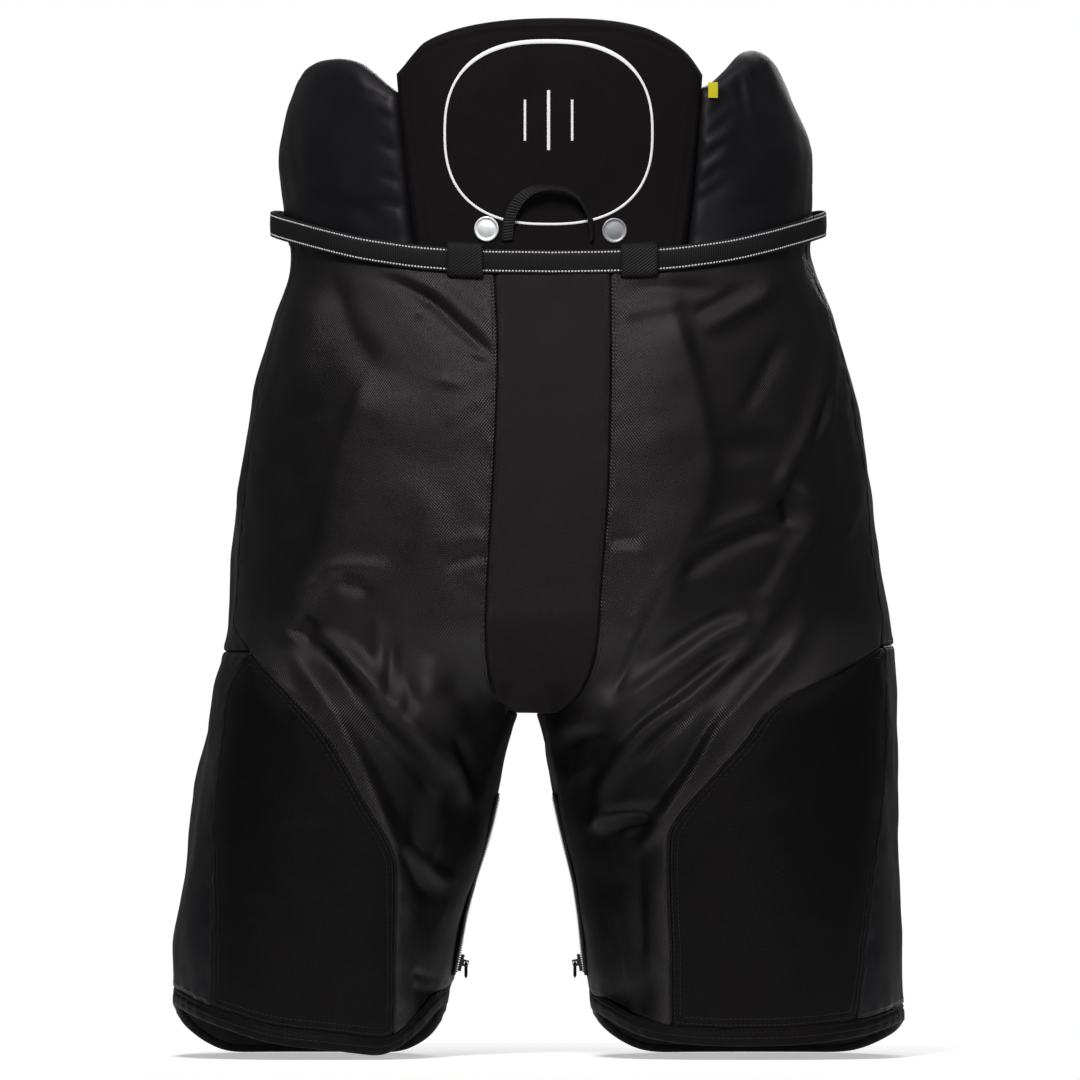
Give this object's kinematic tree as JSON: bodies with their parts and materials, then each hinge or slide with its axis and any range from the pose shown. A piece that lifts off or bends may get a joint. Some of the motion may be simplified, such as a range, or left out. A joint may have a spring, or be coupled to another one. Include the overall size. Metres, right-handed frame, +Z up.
{
  "type": "hockey pants",
  "caption": "Black padded ice hockey pants standing upright: layered hip, tailbone and thigh guards, high kidney and spine pads, belt, suspender buttons, hanger loop and zipped legs.",
  "frame": {"origin": "on the floor under the middle of the bounding box, at the height of the hems' lowest edge", "axes": "+Z up along the body, +Y towards the wearer's front, +X towards the wearer's right"},
  "size_m": [0.4684, 0.2673, 0.662],
  "materials": {
    "knit_shell": "slightly shiny polyester knit",
    "woven_shell": "matte plain-weave nylon",
    "nylon_shell": "smooth satin nylon",
    "spine_cloth": "matte coated cloth",
    "foam": "closed-cell foam in a cloth pocket",
    "guard_plastic": "moulded polyethylene",
    "liner_cloth": "matte tricot",
    "webbing": "ribbed webbing",
    "metal": "nickel plated",
    "black_plastic": "moulded acetal",
    "zip_cloth": "coil zip on woven tape",
    "label": "woven tab"
  },
  "bodies": {
    "pants": {"seat_panel_left": "knit_shell", "hip_side_panel_left": "nylon_shell", "front_hip_panel_left": "knit_shell", "seat_panel_right": "knit_shell", "hip_side_panel_right": "nylon_shell", "front_hip_panel_right": "knit_shell", "seat_center_panel": "woven_shell", "front_center_panel": "woven_shell", "crotch_gusset": "knit_shell", "hip_pad_left": "foam", "kidney_pad_left": "nylon_shell", "hip_pad_right": "foam", "kidney_pad_right": "nylon_shell", "tailbone_pad": "foam", "spine_pad_base": "spine_cloth", "torso_liner": "liner_cloth", "belt": "webbing", "belt_loop_rear_left": "webbing", "belt_loop_rear_right": "webbing", "belt_loop_front_left": "webbing", "belt_loop_front_right": "webbing", "buckle_frame": "black_plastic", "buckle_pin": "metal", "suspender_button_rear_left": "metal", "suspender_button_rear_right": "metal", "suspender_button_front_outer_left": "metal", "suspender_button_front_inner_left": "metal", "suspender_button_front_inner_right": "metal", "suspender_button_front_outer_right": "metal", "fly_tongue": "woven_shell", "fly_placket_left": "webbing", "fly_placket_right": "webbing", "size_tab": "label"},
    "leg_left": {"rear_thigh_panel_left": "woven_shell", "inner_thigh_panel_left": "knit_shell", "side_thigh_panel_left": "nylon_shell", "front_thigh_panel_left": "knit_shell", "hem_band_left": "woven_shell", "thigh_guard_plate_left": "guard_plastic", "thigh_guard_foam_left": "foam", "rear_thigh_pad_left": "foam", "leg_liner_left": "liner_cloth", "zip_tape_left": "zip_cloth"},
    "leg_right": {"rear_thigh_panel_right": "woven_shell", "inner_thigh_panel_right": "knit_shell", "side_thigh_panel_right": "nylon_shell", "front_thigh_panel_right": "knit_shell", "hem_band_right": "woven_shell", "thigh_guard_plate_right": "guard_plastic", "thigh_guard_foam_right": "foam", "rear_thigh_pad_right": "foam", "leg_liner_right": "liner_cloth", "zip_tape_right": "zip_cloth"},
    "spine_flap": {"spine_pad": "spine_cloth"},
    "hanger": {"hanger_loop": "webbing"},
    "lever": {"buckle_lever": "black_plastic"},
    "slider_left": {"zip_slider_left": "metal"},
    "slider_right": {"zip_slider_right": "metal"},
    "pull_left": {"zip_pull_left": "metal"},
    "pull_right": {"zip_pull_right": "metal"}
  },
  "joints": [
    {"name": "leg_left_swing", "type": "hinge", "parent": "pants", "child": "leg_left", "pos_m": [-0.114, 0.00475, 0.32], "axis": [1, 0, 0], "range_deg": [-10, 25]},
    {"name": "leg_right_swing", "type": "hinge", "parent": "pants", "child": "leg_right", "pos_m": [0.12, 0.00475, 0.32], "axis": [1, 0, 0], "range_deg": [-10, 25]},
    {"name": "spine_pad_tilt", "type": "hinge", "parent": "pants", "child": "spine_flap", "pos_m": [0.0075, -0.0985, 0.5425], "axis": [1, 0, 0], "range_deg": [-2, 13], "stiffness_Nm_per_rad": 0.8},
    {"name": "hanger_flip", "type": "hinge", "parent": "pants", "child": "hanger", "pos_m": [0.007, -0.111, 0.521], "axis": [1, 0, 0], "range_deg": [0, 85], "stiffness_Nm_per_rad": 0.01},
    {"name": "lever_flip", "type": "hinge", "parent": "pants", "child": "lever", "pos_m": [-0.00048, 0.11962, 0.524], "axis": [0, 0, 1], "range_deg": [0, 130]},
    {"name": "zip_slide_left", "type": "slide", "parent": "leg_left", "child": "slider_left", "axis": [0.2407, 0, 0.9706], "range_m": [0, 0.072]},
    {"name": "zip_pull_swing_left", "type": "hinge", "parent": "slider_left", "child": "pull_left", "pos_m": [-0.04669, 0.00475, 0.05928], "axis": [0, -1, 0], "range_deg": [-6, 36]},
    {"name": "zip_slide_right", "type": "slide", "parent": "leg_right", "child": "slider_right", "axis": [-0.1761, 0, 0.9844], "range_m": [0, 0.072]},
    {"name": "zip_pull_swing_right", "type": "hinge", "parent": "slider_right", "child": "pull_right", "pos_m": [0.02307, 0.00475, 0.05958], "axis": [0, 1, 0], "range_deg": [-6, 36]}
  ]
}
